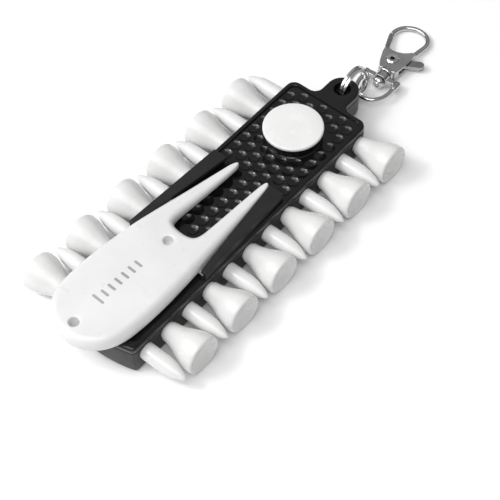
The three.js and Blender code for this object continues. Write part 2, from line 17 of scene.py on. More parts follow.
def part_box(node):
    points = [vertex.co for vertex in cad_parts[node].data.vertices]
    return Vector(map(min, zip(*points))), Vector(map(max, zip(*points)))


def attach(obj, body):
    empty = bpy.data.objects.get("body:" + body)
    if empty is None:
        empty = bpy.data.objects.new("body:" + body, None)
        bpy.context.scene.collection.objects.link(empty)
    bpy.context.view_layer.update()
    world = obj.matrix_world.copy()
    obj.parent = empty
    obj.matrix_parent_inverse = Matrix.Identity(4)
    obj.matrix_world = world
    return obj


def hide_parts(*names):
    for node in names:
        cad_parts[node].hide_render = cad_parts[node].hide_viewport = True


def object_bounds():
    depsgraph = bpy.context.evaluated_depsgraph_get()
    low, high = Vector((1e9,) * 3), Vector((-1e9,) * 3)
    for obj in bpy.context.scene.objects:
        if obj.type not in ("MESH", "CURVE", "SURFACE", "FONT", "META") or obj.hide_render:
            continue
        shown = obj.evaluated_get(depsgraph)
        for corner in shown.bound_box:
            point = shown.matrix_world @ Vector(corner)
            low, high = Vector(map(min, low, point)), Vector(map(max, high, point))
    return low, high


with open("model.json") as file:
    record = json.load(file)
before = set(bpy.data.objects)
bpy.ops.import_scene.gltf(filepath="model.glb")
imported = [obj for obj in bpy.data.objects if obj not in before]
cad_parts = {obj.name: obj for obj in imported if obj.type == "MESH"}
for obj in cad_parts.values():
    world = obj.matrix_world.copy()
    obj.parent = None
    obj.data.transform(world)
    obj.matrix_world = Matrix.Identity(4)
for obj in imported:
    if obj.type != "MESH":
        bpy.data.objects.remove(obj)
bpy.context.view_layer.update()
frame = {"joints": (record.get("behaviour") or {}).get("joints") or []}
joints = {joint["name"]: joint for joint in frame["joints"]}

MM = 0.001

# ---- holder sizes ----
PLATE_THICKNESS = 2.1
PLATE_ROUND = 0.9
BLOCK_ROUND = 0.7
HOLDER_LENGTH = 104.3
CORNER = 3.0
END_BOW = 2.7
END_BOW_RADIUS = 46.0
END_CORNER = 1.5
RIM_WIDTH = 1.5
PANEL_DEPTH = 0.6
TAB_RADIUS = 5.3
TAB_FILLET = 2.6
TAB_HOLE_RADIUS = 2.6
TAB_HOLE_OFFSET = 6.1
TAB_DEPTH = 8.6

MARKER_THICKNESS = 1.3
PEG_RADIUS = 2.0
PEG_HOLE_RADIUS = 2.1
PEG_HOLE_FLOOR = -0.8
BOSS_INSET = 0.8  # from the marker's edge

DIMPLE_RADIUS = 1.9
DIMPLE_DEPTH = 0.6
DIMPLE_PITCH_Y = 4.25
DIMPLE_PITCH_X = 3.72
DIMPLE_FIRST_Y = 40.7
DIMPLE_SIDES = 22
DIMPLE_RINGS = (1.0, 0.92, 0.82, 0.7, 0.55, 0.38, 0.2)  # shares of the radius

GUIDE_START_Y = 29.7
GUIDE_END_Y = 65.4
GUIDE_HEIGHT = 2.83
GUIDE_OUTER = (14.7, 13.3)
GUIDE_INNER = (12.8, 8.3)
GUIDE_LIP_REACH = 0.8
GUIDE_LIP_Z = 1.65
GUIDE_CLEARANCE = 0.3

# ---- divot tool: it sits a little askew in the guides ----
TOOL_BOTTOM = 0.15
TOOL_THICKNESS = 5.45
TOOL_UPPER_ROUND = 2.6
TOOL_LOWER_ROUND = 2.0
TOOL_TURN = -1.8
TOOL_PIVOT_Y = 35
TOOL_HOLE_RADIUS = 1.5
TOOL_CORD_HOLE_Y = -5.8
TOOL_BLIND_HOLE_Y = 30.8
TOOL_BLIND_FLOOR = 2.4
STRIP_START_Y = 30
STRIP_END_Y = 44
STRIP_WIDTH = 3.7
STRIP_THICKNESS = 1.2
PRINT_BARS = 7
PRINT_FIRST_Y = 3.6
PRINT_PITCH = 2.6
PRINT_HALF_WIDTH = 0.42
# points on the smooth outline of its right half: the handle and the prong's outer edge
TOOL_OUTER = [
    (0, -10.4), (5.4, -9.4), (10.2, -5.6), (12.8, 0), (13.55, 7), (13.5, 15), (12.95, 23), (12.2, 30.5),
    (11.2, 38), (9.45, 50), (7.95, 60), (7.1, 64.6),
]
# the same round the prong's tip and back to the middle of the fork
TOOL_INNER = [
    (5.95, 66.4), (4.95, 64.6), (4.75, 56), (4.85, 45), (4.8, 39.4), (4.1, 37.1), (2.4, 36.2), (0, 36.0),
]
# (y, share of the full thickness) along the tool
TOOL_TAPER = [(-11, 1), (16, 1), (28, 0.94), (38, 0.78), (46, 0.63), (54, 0.5), (62, 0.39), (67, 0.33)]
# (y, width of the rounded edge) along the tool
TOOL_EDGE = [(-11, 2.4), (24, 2.4), (40, 1.9), (50, 1.6), (58, 1.1), (63, 0.7), (65, 0.5), (67, 0.3)]

# ---- tee sizes ----
TEE_COUNT = 12
TEE_BORE = 2.75
TEE_BORE_MOUTH = 3.45

# ---- ring and clasp sizes ----
RING_TURNS = 1.94
RING_RADIAL = 0.6
RING_AXIAL = 0.54
LOOP_HALF_WIDTH = 5.55
LOOP_DEPTH = 10.8
LOOP_WIRE = 0.75
HOOK_WIRE = 0.85
BODY_HALF_THICKNESS = 1.6
SLOT_HALF_THICKNESS = 0.8
GATE_HALF_THICKNESS = 0.6
SWIVEL_BORE = 1.25
RIVET_BORE = 1.25
CAST_VOXEL = 0.11
CAST_SMOOTHING = 4


# ---- frames ----
plate_low, plate_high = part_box("top_plate")
rim_z = plate_low.z + PLATE_THICKNESS * MM
half_width = (plate_high.x - plate_low.x) / 2 / MM
tab_hole_y = HOLDER_LENGTH + TAB_HOLE_OFFSET
holder_origin = Vector((0, plate_high.y - (tab_hole_y + TAB_RADIUS) * MM, rim_z))
holder_frame = Matrix.Translation(holder_origin) @ Matrix.Scale(MM, 4)

swivel = joints["hook_swivel"]
along = Vector(swivel["axis"]).normalized()
upward = Vector(joints["gate_open"]["axis"]).normalized()
across = along.cross(upward)
clasp_axes = Matrix((across, along, upward)).transposed().to_4x4()
clasp_frame = Matrix.Translation(Vector(swivel["pos_m"])) @ clasp_axes @ Matrix.Scale(MM, 4)
rivet_at = clasp_frame.inverted() @ Vector(joints["gate_open"]["pos_m"])


# ---- mesh building ----
class Shell:
    """Collects the points and faces of one closed surface."""

    def __init__(self):
        self.points = []
        self.faces = []

    def loop(self, points):
        first = len(self.points)
        self.points += [Vector(p) for p in points]
        return list(range(first, len(self.points)))

    def bridge(self, low, high):
        for i in range(len(low)):
            j = (i + 1) % len(low)
            self.faces.append((low[i], low[j], high[j], high[i]))

    def fan(self, ring, centre):
        hub = self.loop([centre])[0]
        for i in range(len(ring)):
            self.faces.append((ring[i], ring[(i + 1) % len(ring)], hub))

    def cap(self, loops, inner=(), height=None):
        """Fills the region between the first loop and the others, through the inner points."""
        added = self.loop([(x, y, height(x, y)) for x, y in inner]) if inner else []
        indices = [i for ring in loops for i in ring] + added
        flat = [Vector(self.points[i][:2]) for i in indices]
        edges = []
        start = 0
        for ring in loops:
            count = len(ring)
            edges += [(start + i, start + (i + 1) % count) for i in range(count)]
            start += count
        _, _, faces, origins, _, _ = delaunay_2d_cdt(flat, edges, [], 0, 1e-6, True)
        rings = [[flat_at(self.points[i]) for i in ring] for ring in loops]
        for face in faces:
            if not all(origins[i] for i in face):
                raise ValueError("outlines cross")
            corners = [indices[origins[i][0]] for i in face]
            centre = sum((self.points[i].to_2d() for i in corners), Vector((0, 0))) / len(corners)
            if sum(inside(ring, centre) for ring in rings) % 2:
                self.faces.append(corners)

    def object(self, name, local, smooth_angle=40):
        mesh = bpy.data.meshes.new(name)
        mesh.from_pydata([local @ p for p in self.points], [], self.faces)
        work = bmesh.new()
        work.from_mesh(mesh)
        bmesh.ops.remove_doubles(work, verts=work.verts, dist=1e-8)
        bmesh.ops.recalc_face_normals(work, faces=work.faces)
        work.to_mesh(mesh)
        work.free()
        mesh.shade_smooth()
        mesh.set_sharp_from_angle(angle=math.radians(smooth_angle))
        made = bpy.data.objects.new(name, mesh)
        bpy.context.scene.collection.objects.link(made)
        return made


def flat_at(point):
    return (point[0], point[1])


def inside(ring, point):
    odd = False
    x, y = point
    for i, (x1, y1) in enumerate(ring):
        x0, y0 = ring[i - 1]
        if (y0 > y) != (y1 > y) and x < x0 + (y - y0) / (y1 - y0) * (x1 - x0):
            odd = not odd
    return odd


def circle(radius, sides, x=0.0, y=0.0, z=0.0):
    step = 2 * math.pi / sides
    return [(x + radius * math.cos(i * step), y + radius * math.sin(i * step), z) for i in range(sides)]


def arc(x, y, radius, start, end, steps):
    """Points of an arc in degrees."""
    angles = [math.radians(start + (end - start) * i / steps) for i in range(steps + 1)]
    return [(x + radius * math.cos(a), y + radius * math.sin(a)) for a in angles]


def spline(points, spacing, closed):
    """A smooth curve through the points, with about this spacing."""
    count = len(points)
    found = []
    for i in range(count if closed else count - 1):
        if closed:
            p = [Vector(points[(i + k) % count]) for k in (-1, 0, 1, 2)]
        else:
            p = [Vector(points[min(max(i + k, 0), count - 1)]) for k in (-1, 0, 1, 2)]
        steps = max(2, round((p[2] - p[1]).length / spacing))
        for k in range(steps):
            t = k / steps
            found.append(
                0.5
                * (
                    2 * p[1]
                    + (p[2] - p[0]) * t
                    + (2 * p[0] - 5 * p[1] + 4 * p[2] - p[3]) * t * t
                    + (3 * p[1] - 3 * p[2] + p[3] - p[0]) * t * t * t
                )
            )
    if not closed:
        found.append(Vector(points[-1]))
    return found


def inset(outline, distances):
    """The closed outline moved inwards, by one distance for each point."""
    moved = []
    for i, point in enumerate(outline):
        tangent = Vector(outline[(i + 1) % len(outline)]) - Vector(outline[i - 1])
        outward = Vector((tangent.y, -tangent.x)).normalized()
        moved.append(Vector(point) - outward * distances[i])
    return moved


def between(table, at):
    for (y0, value0), (y1, value1) in zip(table, table[1:]):
        if at <= y1:
            share = max(0.0, (at - y0) / (y1 - y0))
            return value0 + share * (value1 - value0)
    return table[-1][1]


def turned(profile, sides, place):
    """A closed surface turned from (radius, height) points; place puts a point with its axis along z."""
    shell = Shell()
    rings = []
    for radius, height in profile:
        if radius > 0:
            rings.append(shell.loop([place @ Vector(p) for p in circle(radius, sides, z=height)]))
    for low, high in zip(rings, rings[1:]):
        shell.bridge(low, high)
    if profile[0][0] == 0:
        shell.fan(rings[0], place @ Vector((0, 0, profile[0][1])))
        shell.fan(rings[-1], place @ Vector((0, 0, profile[-1][1])))
    else:
        shell.bridge(rings[-1], rings[0])
    return shell


def rounded(profile, radius, steps=3):
    """A (radius, height) profile with its inner corners rounded."""
    found = [profile[0]]
    for before, corner, after in zip(profile, profile[1:], profile[2:]):
        back = Vector(before) - Vector(corner)
        ahead = Vector(after) - Vector(corner)
        reach = min(radius, 0.45 * back.length, 0.45 * ahead.length)
        start = Vector(corner) + back.normalized() * reach
        end = Vector(corner) + ahead.normalized() * reach
        for i in range(steps + 1):
            t = i / steps
            point = start * (1 - t) ** 2 + Vector(corner) * 2 * t * (1 - t) + end * t * t
            found.append((point.x, point.y))
    return found + [profile[-1]]


def swept(line, section):
    """A section of (side, up) offsets carried along a flat line of points in XY."""
    shell = Shell()
    rings = []
    for i, point in enumerate(line):
        ahead = line[min(i + 1, len(line) - 1)]
        behind = line[max(i - 1, 0)]
        tangent = (ahead - behind).normalized()
        side = Vector((-tangent.y, tangent.x, 0))
        centre = Vector((point.x, point.y, 0))
        rings.append(shell.loop([centre + side * s + Vector((0, 0, u)) for s, u in section]))
    for low, high in zip(rings, rings[1:]):
        shell.bridge(low, high)
    for ring in (rings[0], rings[-1]):
        middle = sum((shell.points[i] for i in ring), Vector()) / len(ring)
        shell.fan(ring, middle)
    return shell


def slab(outline, low, high, edge):
    """A flat piece with this outline and both its edges rounded."""
    shell = Shell()
    rings = []
    steps = 4
    for turn in range(steps + 1):
        angle = math.pi / 2 * turn / steps
        inner = inset(outline, [edge * (1 - math.sin(angle))] * len(outline))
        rings.append((inner, low + edge * (1 - math.cos(angle))))
    rings += [(ring, high + low - z) for ring, z in reversed(rings)]
    loops = [shell.loop([(x, y, z) for x, y in ring]) for ring, z in rings]
    for lower, upper in zip(loops, loops[1:]):
        shell.bridge(lower, upper)
    shell.cap([loops[0]])
    shell.cap([loops[-1]])
    return shell


def prism(outline, low, high):
    """A straight-walled piece between two heights."""
    shell = Shell()
    bottom = shell.loop([(x, y, low) for x, y in outline])
    top = shell.loop([(x, y, high) for x, y in outline])
    shell.bridge(bottom, top)
    shell.cap([bottom])
    shell.cap([top])
    return shell


def box(low, high):
    corners = [(low[0], low[1]), (high[0], low[1]), (high[0], high[1]), (low[0], high[1])]
    return prism(corners, low[2], high[2])


def rod(radius, low, high, sides, axis="y", x=0.0, y=0.0, edge=0.15):
    """A round bar along y or z, with softened ends."""
    profile = rounded([(0, low), (radius, low), (radius, high), (0, high)], edge)
    turn = Matrix.Rotation(-math.pi / 2, 4, "X") if axis == "y" else Matrix.Identity(4)
    return turned(profile, sides, Matrix.Translation(Vector((x, y, 0))) @ turn)


def joined(name, shells, local, cutters=(), voxel=None, smooth=0):
    """One object from overlapping closed shells, less the cutters, and remeshed where a voxel is given."""
    made = shells[0].object(name, local)
    for index, (shell, operation) in enumerate(
        [(s, "UNION") for s in shells[1:]] + [(c, "DIFFERENCE") for c in cutters]
    ):
        tool = shell.object(f"{name}_tool_{index}", local)
        modifier = made.modifiers.new("join", "BOOLEAN")
        modifier.operation = operation
        modifier.solver = "EXACT"
        modifier.object = tool
        settle(made)
        bpy.data.objects.remove(tool)
    if voxel:
        remesh = made.modifiers.new("remesh", "REMESH")
        remesh.mode = "VOXEL"
        remesh.voxel_size = voxel * MM
        settle(made)
    if smooth:
        soften = made.modifiers.new("soften", "SMOOTH")
        soften.factor = 0.5
        soften.iterations = smooth
        settle(made)
    made.data.shade_smooth()
    if not voxel:
        made.data.set_sharp_from_angle(angle=math.radians(35))
    return made


def settle(made):
    """Applies an object's modifiers to its mesh."""
    graph = bpy.context.evaluated_depsgraph_get()
    mesh = bpy.data.meshes.new_from_object(made.evaluated_get(graph))
    made.modifiers.clear()
    made.data = mesh


# ---- materials ----
def new_material(name):
    material = bpy.data.materials.new(name)
    material.use_nodes = True
    nodes = material.node_tree.nodes
    return material, nodes, material.node_tree.links, nodes["Principled BSDF"]


def noise(nodes, links, scale, detail, coordinates):
    texture = nodes.new("ShaderNodeTexNoise")
    texture.inputs["Scale"].default_value = scale
    texture.inputs["Detail"].default_value = detail
    links.new(coordinates.outputs["Object"], texture.inputs["Vector"])
    return texture.outputs["Fac"]


def blend_range(nodes, links, value, low, high):
    ranged = nodes.new("ShaderNodeMapRange")
    ranged.inputs["From Min"].default_value = 0.3
    ranged.inputs["From Max"].default_value = 0.7
    ranged.inputs["To Min"].default_value = low
    ranged.inputs["To Max"].default_value = high
    links.new(value, ranged.inputs["Value"])
    return ranged.outputs["Result"]


def two_tone(nodes, links, value, dark, light):
    ramp = nodes.new("ShaderNodeValToRGB")
    ramp.color_ramp.elements[0].position = 0.3
    ramp.color_ramp.elements[0].color = (*dark, 1)
    ramp.color_ramp.elements[1].position = 0.7
    ramp.color_ramp.elements[1].color = (*light, 1)
    links.new(value, ramp.inputs["Fac"])
    return ramp.outputs["Color"]


def bumped(nodes, links, value, strength, distance):
    bump = nodes.new("ShaderNodeBump")
    bump.inputs["Strength"].default_value = strength
    bump.inputs["Distance"].default_value = distance
    links.new(value, bump.inputs["Height"])
    return bump.outputs["Normal"]


def moulded_plastic(name, dark, light, roughness, grain_scale, grain_depth, shine=0.5, skin=0.0):
    """Moulded plastic: faint mottling, patchy gloss and a fine moulded grain."""
    material, nodes, links, shader = new_material(name)
    coordinates = nodes.new("ShaderNodeTexCoord")
    mottle = noise(nodes, links, 90, 3, coordinates)
    links.new(two_tone(nodes, links, mottle, dark, light), shader.inputs["Base Color"])
    patches = noise(nodes, links, 260, 4, coordinates)
    links.new(blend_range(nodes, links, patches, *roughness), shader.inputs["Roughness"])
    grain = noise(nodes, links, grain_scale, 2, coordinates)
    links.new(bumped(nodes, links, grain, 0.5, grain_depth), shader.inputs["Normal"])
    shader.inputs["IOR"].default_value = 1.5
    shader.inputs["Specular IOR Level"].default_value = shine
    shader.inputs["Subsurface Weight"].default_value = skin
    shader.inputs["Subsurface Radius"].default_value = (0.0012, 0.0011, 0.001)
    return material


def plated_metal(name, dark, light, roughness):
    """Bright plating: faint clouding, fine wipe marks and slightly uneven castings."""
    material, nodes, links, shader = new_material(name)
    coordinates = nodes.new("ShaderNodeTexCoord")
    cloud = noise(nodes, links, 240, 3, coordinates)
    links.new(two_tone(nodes, links, cloud, dark, light), shader.inputs["Base Color"])
    wiping = noise(nodes, links, 1500, 4, coordinates)
    links.new(blend_range(nodes, links, wiping, *roughness), shader.inputs["Roughness"])
    casting = noise(nodes, links, 420, 2, coordinates)
    links.new(bumped(nodes, links, casting, 0.35, 0.00006), shader.inputs["Normal"])
    shader.inputs["Metallic"].default_value = 1.0
    return material


white_tee = moulded_plastic(
    "tee_plastic", (0.68, 0.68, 0.675), (0.73, 0.73, 0.725), (0.2, 0.3), 2600, 0.00001, skin=0.12
)
white_tool = moulded_plastic(
    "tool_plastic", (0.70, 0.70, 0.70), (0.74, 0.74, 0.74), (0.26, 0.38), 3200, 0.000012, skin=0.1
)
white_marker = moulded_plastic(
    "marker_plastic", (0.74, 0.74, 0.735), (0.79, 0.79, 0.785), (0.2, 0.3), 3200, 0.00001, skin=0.1
)
black_plate = moulded_plastic(
    "plate_plastic", (0.0035, 0.0035, 0.0038), (0.0065, 0.0065, 0.007), (0.12, 0.2), 3000, 0.000006, shine=0.5
)
black_block = moulded_plastic(
    "block_plastic", (0.010, 0.010, 0.0105), (0.016, 0.016, 0.0165), (0.34, 0.48), 3600, 0.00002
)
black_guide = moulded_plastic(
    "guide_plastic", (0.009, 0.009, 0.0092), (0.014, 0.014, 0.0145), (0.42, 0.55), 4200, 0.00002, shine=0.4
)
grey_print = moulded_plastic(
    "print_ink", (0.30, 0.30, 0.30), (0.38, 0.38, 0.38), (0.5, 0.6), 5000, 0.000006
)
ring_plate = plated_metal("ring_plating", (0.62, 0.62, 0.63), (0.72, 0.72, 0.73), (0.1, 0.18))
clasp_plate = plated_metal("clasp_plating", (0.50, 0.50, 0.51), (0.60, 0.60, 0.61), (0.14, 0.24))
gate_plate = plated_metal("gate_plating", (0.36, 0.36, 0.37), (0.44, 0.44, 0.45), (0.22, 0.34))
rivet_plate = plated_metal("rivet_plating", (0.66, 0.66, 0.67), (0.76, 0.76, 0.77), (0.1, 0.18))


def finish_piece(piece, material, body, slot, *nodes):
    """Gives a piece its material and its body, and hides the CAD nodes that it stands for; the slot is not
    used.
    """
    piece.data.materials.clear()
    piece.data.materials.append(material)
    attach(piece, body)
    if nodes:
        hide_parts(*nodes)


# ---- holder outlines ----
def end_curves():
    """The bowed handle end: the bow's centre, a corner's centre, and the angle in degrees where they meet."""
    bow_y = END_BOW_RADIUS - END_BOW
    corner_x = half_width - END_CORNER
    corner_y = bow_y - math.sqrt((END_BOW_RADIUS - END_CORNER) ** 2 - corner_x ** 2)
    return bow_y, corner_x, corner_y, math.degrees(math.atan2(corner_y - bow_y, corner_x))


def end_outline(margin):
    """The handle end from the left corner round the bow to the right corner, counter-clockwise."""
    bow_y, corner_x, corner_y, turn = end_curves()
    corner = END_CORNER - margin
    points = arc(-corner_x, corner_y, corner, 180, 180 - turn, 6)
    points += arc(0, bow_y, END_BOW_RADIUS - margin, -180 - turn, turn, 12)[1:-1]
    return points + arc(corner_x, corner_y, corner, turn, 0, 6)


def holder_outline(margin):
    """The holder seen from above, tab included, counter-clockwise, moved inwards by the margin."""
    right = half_width - margin
    radius = CORNER - margin
    tab = TAB_RADIUS - margin
    fillet = TAB_FILLET + margin
    fillet_x = TAB_RADIUS + TAB_FILLET
    fillet_y = HOLDER_LENGTH + TAB_FILLET
    points = end_outline(margin)
    points += arc(right - radius, HOLDER_LENGTH - margin - radius, radius, 0, 90, 8)
    points += arc(fillet_x, fillet_y, fillet, 270, 180, 8)
    points += arc(0, tab_hole_y, tab, 0, 180, 24)
    points += arc(-fillet_x, fillet_y, fillet, 0, -90, 8)
    points += arc(-right + radius, HOLDER_LENGTH - margin - radius, radius, 90, 180, 8)
    return points


def guide_edge(y, ends):
    share = (y - GUIDE_START_Y) / (GUIDE_END_Y - GUIDE_START_Y)
    return ends[0] + share * (ends[1] - ends[0])


def panel_outline(margin):
    """The recessed panel, which steps in round the lands under the two guides."""
    side = half_width - RIM_WIDTH - margin
    low = RIM_WIDTH + margin
    high = HOLDER_LENGTH - RIM_WIDTH - margin
    land = 0.2 + margin
    corner = 2.0
    half = arc(side - corner, low + corner, corner, -90, 0, 6)
    half += [
        (side, GUIDE_START_Y - land),
        (GUIDE_INNER[0] - land, GUIDE_START_Y - land),
        (GUIDE_INNER[1] - land, GUIDE_END_Y + land),
        (side, GUIDE_END_Y + land),
    ]
    half += arc(side - corner, high - corner, corner, 0, 90, 6)
    return half + [(-x, y) for x, y in reversed(half)]


def boss_radius():
    low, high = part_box("ball_marker")
    return (high.x - low.x) / 2 / MM - BOSS_INSET


def dimple_centres():
    """(x, y, radius) over a staggered field, clear of the guides and the boss, and shrunk at its edges."""
    marker_y = marker_centre().y
    boss = boss_radius()
    for column in range(-3, 4):
        x = column * DIMPLE_PITCH_X
        offset = DIMPLE_PITCH_Y / 2 if column % 2 else 0
        for row in range(16):
            y = DIMPLE_FIRST_Y + offset + row * DIMPLE_PITCH_Y
            guide = guide_edge(y, GUIDE_INNER) - DIMPLE_RADIUS - 0.3
            under_guide = y < GUIDE_END_Y + DIMPLE_RADIUS + 0.3 and abs(x) > guide
            room = min(
                math.hypot(x, y - marker_y) - boss - 0.45,
                HOLDER_LENGTH - RIM_WIDTH - 0.35 - y,
                half_width - RIM_WIDTH - 0.22 - abs(x),
            )
            if room > 0.6 * DIMPLE_RADIUS and not under_guide:
                yield x, y, min(DIMPLE_RADIUS, room)


def marker_centre():
    low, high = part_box("ball_marker")
    return holder_frame.inverted() @ ((low + high) / 2)


# ---- holder pieces ----
def plate_dimples(shell):
    """The round bowls of the panel; gives their mouths."""
    mouths = []
    for x, y, radius in dimple_centres():
        depth = DIMPLE_DEPTH * radius / DIMPLE_RADIUS
        ball = (radius * radius + depth * depth) / (2 * depth)
        rings = []
        for share in DIMPLE_RINGS:
            drop = math.sqrt(ball * ball - (radius * share) ** 2) - (ball - depth)
            rings.append(shell.loop(circle(radius * share, DIMPLE_SIDES, x, y, -PANEL_DEPTH - drop)))
        for outer, inner in zip(rings, rings[1:]):
            shell.bridge(outer, inner)
        shell.fan(rings[-1], (x, y, -PANEL_DEPTH - depth))
        mouths.append(rings[0])
    return mouths


def plate_boss(shell):
    """The marker's boss with its blind peg hole; gives its foot."""
    y = marker_centre().y
    radius = boss_radius()
    top = (plate_high.z - rim_z) / MM
    profile = [
        (radius + 0.35, -PANEL_DEPTH), (radius + 0.05, -PANEL_DEPTH + 0.3), (radius, top - 0.35),
        (radius - 0.12, top - 0.1), (radius - 0.4, top), (PEG_HOLE_RADIUS, top),
        (PEG_HOLE_RADIUS, PEG_HOLE_FLOOR),
    ]
    rings = [shell.loop(circle(around, 72, 0, y, z)) for around, z in profile]
    for outer, inner in zip(rings, rings[1:]):
        shell.bridge(outer, inner)
    shell.fan(rings[-1], (0, y, PEG_HOLE_FLOOR))
    return rings[0]


def plate_tab_hole(shell):
    """The wall of the tab's hole; gives its upper and lower mouths."""
    rings = []
    for extra, z in [(0.35, 0), (0.1, -0.1), (0, -0.35), (0, -PLATE_THICKNESS)]:
        rings.append(shell.loop(circle(TAB_HOLE_RADIUS + extra, 40, 0, tab_hole_y, z)))
    for upper, lower in zip(rings, rings[1:]):
        shell.bridge(lower, upper)
    return rings[0], rings[-1]


def make_top_plate():
    shell = Shell()
    low = -PLATE_THICKNESS
    groove = 0.3
    rings = [(groove, low), (0.08, low + 0.12), (0.0, low + groove)]
    for step in range(6):
        angle = math.pi / 2 * step / 5
        rings.append((PLATE_ROUND * (1 - math.cos(angle)), -PLATE_ROUND * (1 - math.sin(angle))))
    loops = [shell.loop([(x, y, z) for x, y in holder_outline(margin)]) for margin, z in rings]
    for lower, upper in zip(loops, loops[1:]):
        shell.bridge(lower, upper)
    hole_top, hole_low = plate_tab_hole(shell)
    shell.cap([loops[0], hole_low])

    rim = shell.loop([(x, y, 0) for x, y in panel_outline(0)])
    lip = shell.loop([(x, y, -0.12) for x, y in panel_outline(0.1)])
    floor = shell.loop([(x, y, -PANEL_DEPTH) for x, y in panel_outline(0.2)])
    shell.cap([loops[-1], rim, hole_top])
    shell.bridge(rim, lip)
    shell.bridge(lip, floor)
    mouths = plate_dimples(shell)
    foot = plate_boss(shell)
    shell.cap([floor, *mouths, foot])
    piece = shell.object("moulded_top_plate", holder_frame, 25)
    finish_piece(piece, black_plate, "holder", "plate_plastic", "top_plate")


def make_tee_block():
    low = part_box("tee_block")[0]
    bottom = (low.z - rim_z) / MM
    top = -PLATE_THICKNESS
    body_outline = end_outline(0)
    body_outline += arc(half_width - CORNER, HOLDER_LENGTH - CORNER, CORNER, 0, 90, 8)
    body_outline += arc(CORNER - half_width, HOLDER_LENGTH - CORNER, CORNER, 90, 180, 8)
    body = slab(body_outline, bottom, top, BLOCK_ROUND)
    base = HOLDER_LENGTH - 4
    tab_outline = [(-TAB_RADIUS - TAB_FILLET, base), (TAB_RADIUS + TAB_FILLET, base)]
    fillet_y = HOLDER_LENGTH + TAB_FILLET
    tab_outline += arc(TAB_RADIUS + TAB_FILLET, fillet_y, TAB_FILLET, 270, 180, 8)
    tab_outline += arc(0, tab_hole_y, TAB_RADIUS, 0, 180, 28)
    tab_outline += arc(-TAB_RADIUS - TAB_FILLET, fillet_y, TAB_FILLET, 0, -90, 8)
    tab = slab(tab_outline, -TAB_DEPTH, top, 0.45)
    cutters = [rod(TAB_HOLE_RADIUS, -TAB_DEPTH - 1, 1, 40, "z", y=tab_hole_y)]
    for index in range(TEE_COUNT):
        low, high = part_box(f"tee_{index + 1:02d}")
        middle = holder_frame.inverted() @ ((low + high) / 2)
        turn = Matrix.Rotation(math.pi / 2, 4, "Y")
        place = Matrix.Translation(Vector((0, middle.y, middle.z))) @ turn
        wall = half_width + 1
        mouth = half_width - 0.35
        profile = [
            (0, -wall), (TEE_BORE_MOUTH, -wall), (TEE_BORE, -mouth),
            (TEE_BORE, mouth), (TEE_BORE_MOUTH, wall), (0, wall),
        ]
        cutters.append(turned(profile, 36, place))
    piece = joined("moulded_tee_block", [body, tab], holder_frame, cutters)
    finish_piece(piece, black_block, "holder", "block_plastic", "tee_block")


def make_guides():
    for side, node in [(-1, "guide_left"), (1, "guide_right")]:
        wall = [
            (GUIDE_INNER[0] + GUIDE_LIP_REACH, GUIDE_START_Y), (GUIDE_OUTER[0], GUIDE_START_Y),
            (GUIDE_OUTER[1], GUIDE_END_Y), (GUIDE_INNER[1] + GUIDE_LIP_REACH, GUIDE_END_Y),
        ]
        lip = [
            (GUIDE_INNER[0], GUIDE_START_Y), (GUIDE_OUTER[0], GUIDE_START_Y),
            (GUIDE_OUTER[1], GUIDE_END_Y), (GUIDE_INNER[1], GUIDE_END_Y),
        ]
        shells = []
        for outline, low in [(lip, GUIDE_LIP_Z), (wall, 0)]:
            points = [(side * x, y) for x, y in outline]
            if side < 0:
                points.reverse()
            shells.append(prism(points, low, GUIDE_HEIGHT))
        piece = joined(f"moulded_{node}", shells, holder_frame)
        bevel = piece.modifiers.new("soft_edges", "BEVEL")
        bevel.width = 0.25 * MM
        bevel.segments = 3
        bevel.limit_method = "ANGLE"
        bevel.angle_limit = math.radians(30)
        bevel.harden_normals = True
        finish_piece(piece, black_guide, "holder", "guide_plastic", node)


# ---- divot tool ----
def tool_outline():
    right = TOOL_OUTER + TOOL_INNER
    left = [(-x, y) for x, y in reversed(right[1:-1])]
    return spline(right + left, 0.5, True)


def tool_level(y, height):
    """The height above the rim of a point on the tool, whose thickness tapers along y."""
    return TOOL_BOTTOM + height * between(TOOL_TAPER, y)


def tool_frame():
    """The tool's own frame, turned a little in the guides."""
    pivot = Matrix.Translation(Vector((0, TOOL_PIVOT_Y, 0)))
    return holder_frame @ pivot @ Matrix.Rotation(math.radians(TOOL_TURN), 4, "Z") @ pivot.inverted()


def tool_layer(shell, outline, share, height):
    distances = [share * between(TOOL_EDGE, y) for _, y in outline]
    ring = inset(outline, distances)
    return shell.loop([(p.x, p.y, tool_level(p.y, height)) for p in ring])


def tool_hole(shell, y, floor):
    """The softened mouth and the wall of a hole; gives its highest and lowest loops."""
    rings = []
    for extra, drop in [(0.45, 0), (0.2, 0.07), (0.05, 0.25), (0, 0.5)]:
        z = tool_level(y, TOOL_THICKNESS) - drop
        rings.append(shell.loop(circle(TOOL_HOLE_RADIUS + extra, 40, 0, y, z)))
    rings.append(shell.loop(circle(TOOL_HOLE_RADIUS, 40, 0, y, floor)))
    for upper, lower in zip(rings, rings[1:]):
        shell.bridge(lower, upper)
    return rings[0], rings[-1]


def tool_face_points(border):
    """A staggered grid of points inside the tool's upper face, clear of its edge and its holes."""
    pitch = 1.4
    found = []
    for i in range(-10, 11):
        for j in range(-7, 47):
            x = i * pitch
            y = j * pitch + (pitch / 2 if i % 2 else 0)
            clear = all(math.hypot(x, y - hole) > 2.6 for hole in (TOOL_CORD_HOLE_Y, TOOL_BLIND_HOLE_Y))
            margin = min(math.hypot(x - bx, y - by) for bx, by in border)
            if clear and margin > 0.8 and inside(border, (x, y)):
                found.append((x, y))
    return found


